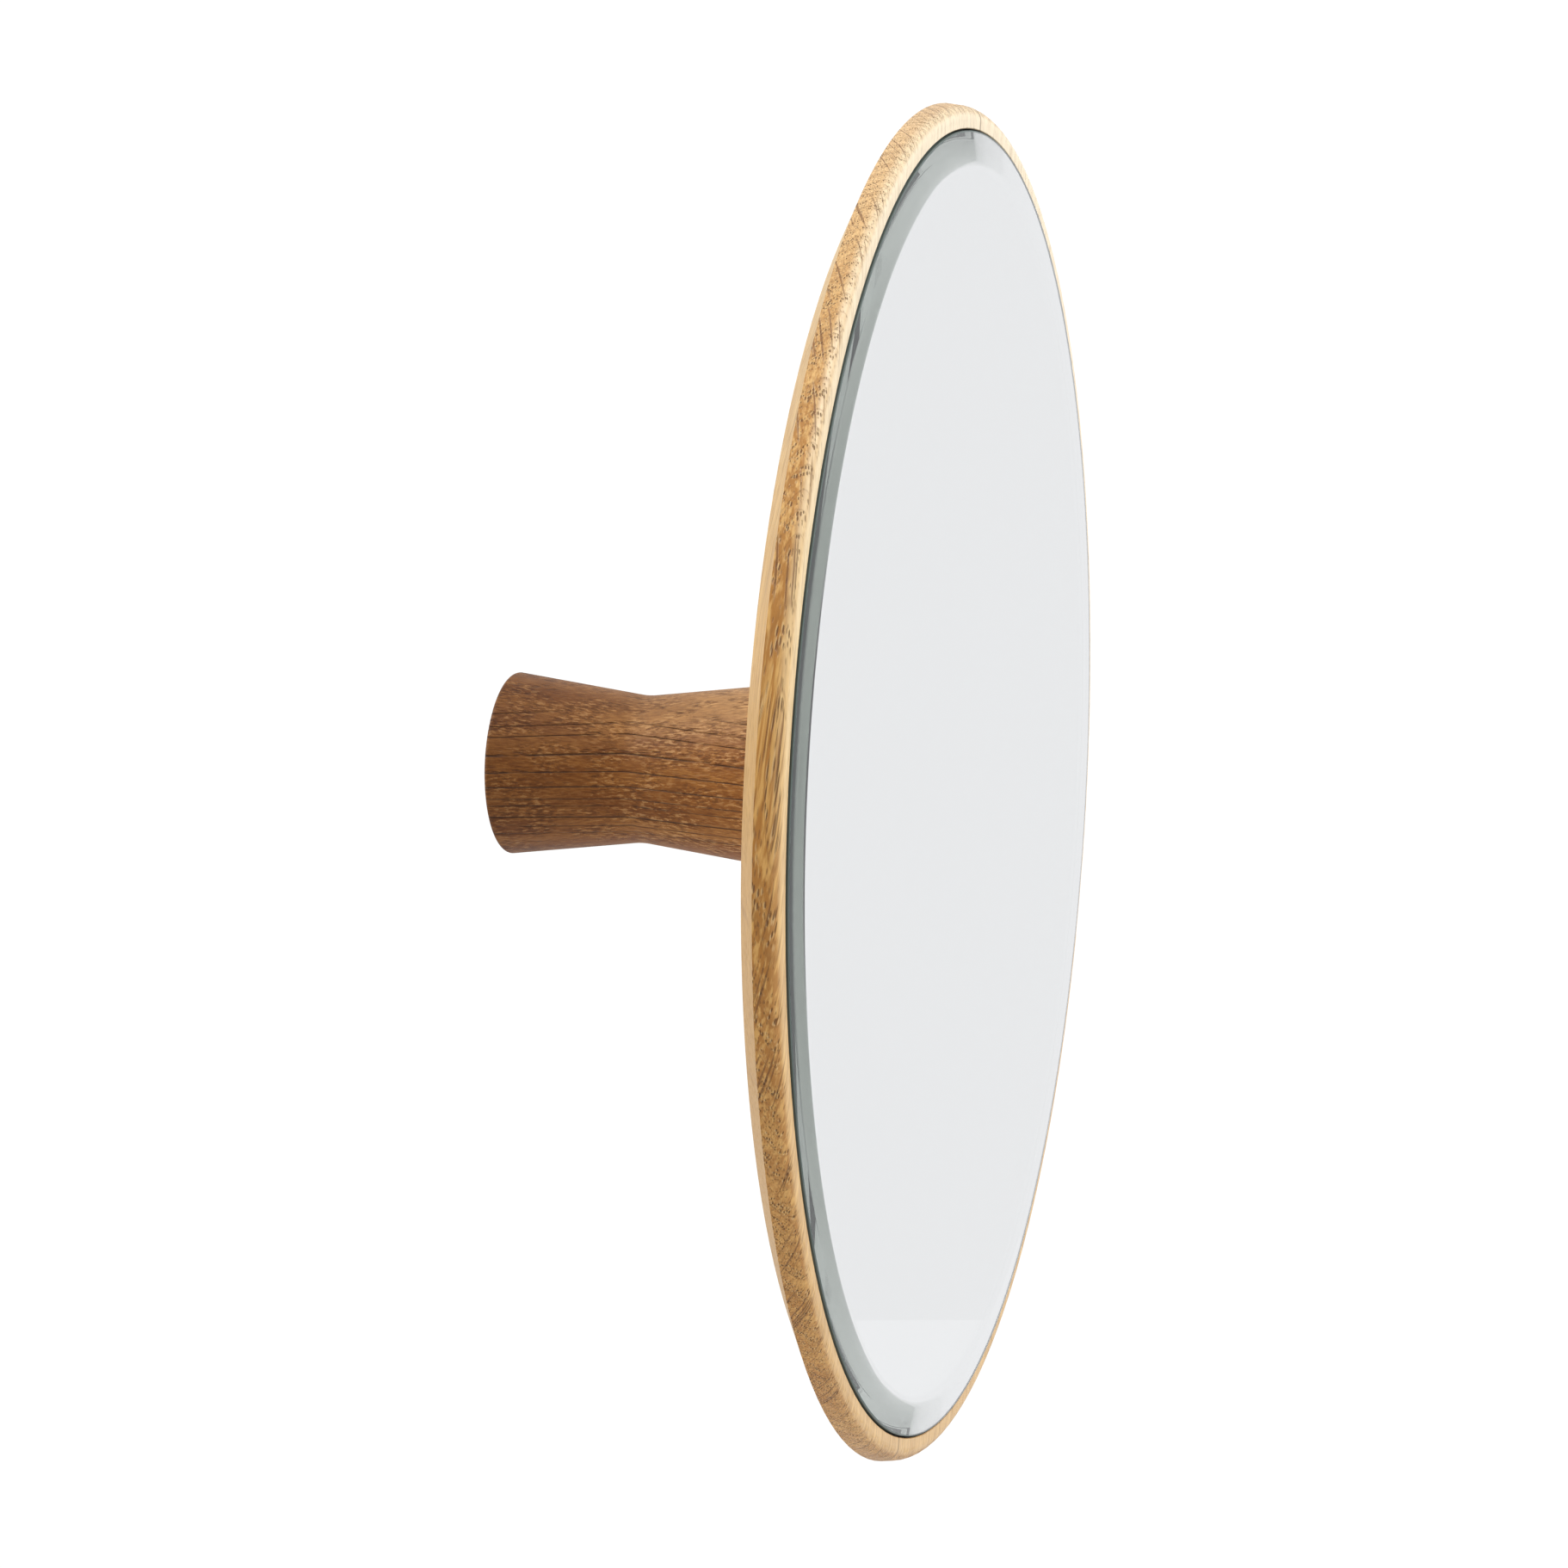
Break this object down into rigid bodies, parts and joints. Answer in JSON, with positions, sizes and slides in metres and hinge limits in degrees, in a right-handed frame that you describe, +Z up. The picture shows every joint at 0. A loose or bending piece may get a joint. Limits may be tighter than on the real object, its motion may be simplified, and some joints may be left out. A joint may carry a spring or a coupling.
{
  "type": "round wall mirror",
  "caption": "Round bevelled mirror set in a turned oak disc, held off the wall by a waisted oak stem with a threaded insert.",
  "frame": {"origin": "centre of the stem's wall face, at the mouth of the threaded insert", "axes": "+Y along the stem into the wall, the mirror faces -Y, +Z up"},
  "size_m": [0.3, 0.1067, 0.3],
  "materials": {
    "disc_oak": "fine-sanded oak under a matt oil",
    "stem_oak": "fine-sanded oak under a matt oil",
    "clear_glass": "polished float glass with a bevelled rim",
    "silvering": "silver with grey backing paint",
    "foam_tape": "white closed-cell foam",
    "zinc_steel": "bright zinc plate",
    "beech": "plain fluteless beech dowel",
    "insert_brass": "turned brass"
  },
  "bodies": {
    "root": {"disc_stave_wide": "disc_oak", "disc_stave_narrow": "disc_oak", "mirror_glass": "clear_glass", "mirror_silvering": "silvering", "mirror_tape": "foam_tape", "stem": "stem_oak", "stem_screws": "zinc_steel", "stem_dowels": "beech", "wall_insert": "insert_brass"}
  },
  "joints": []
}
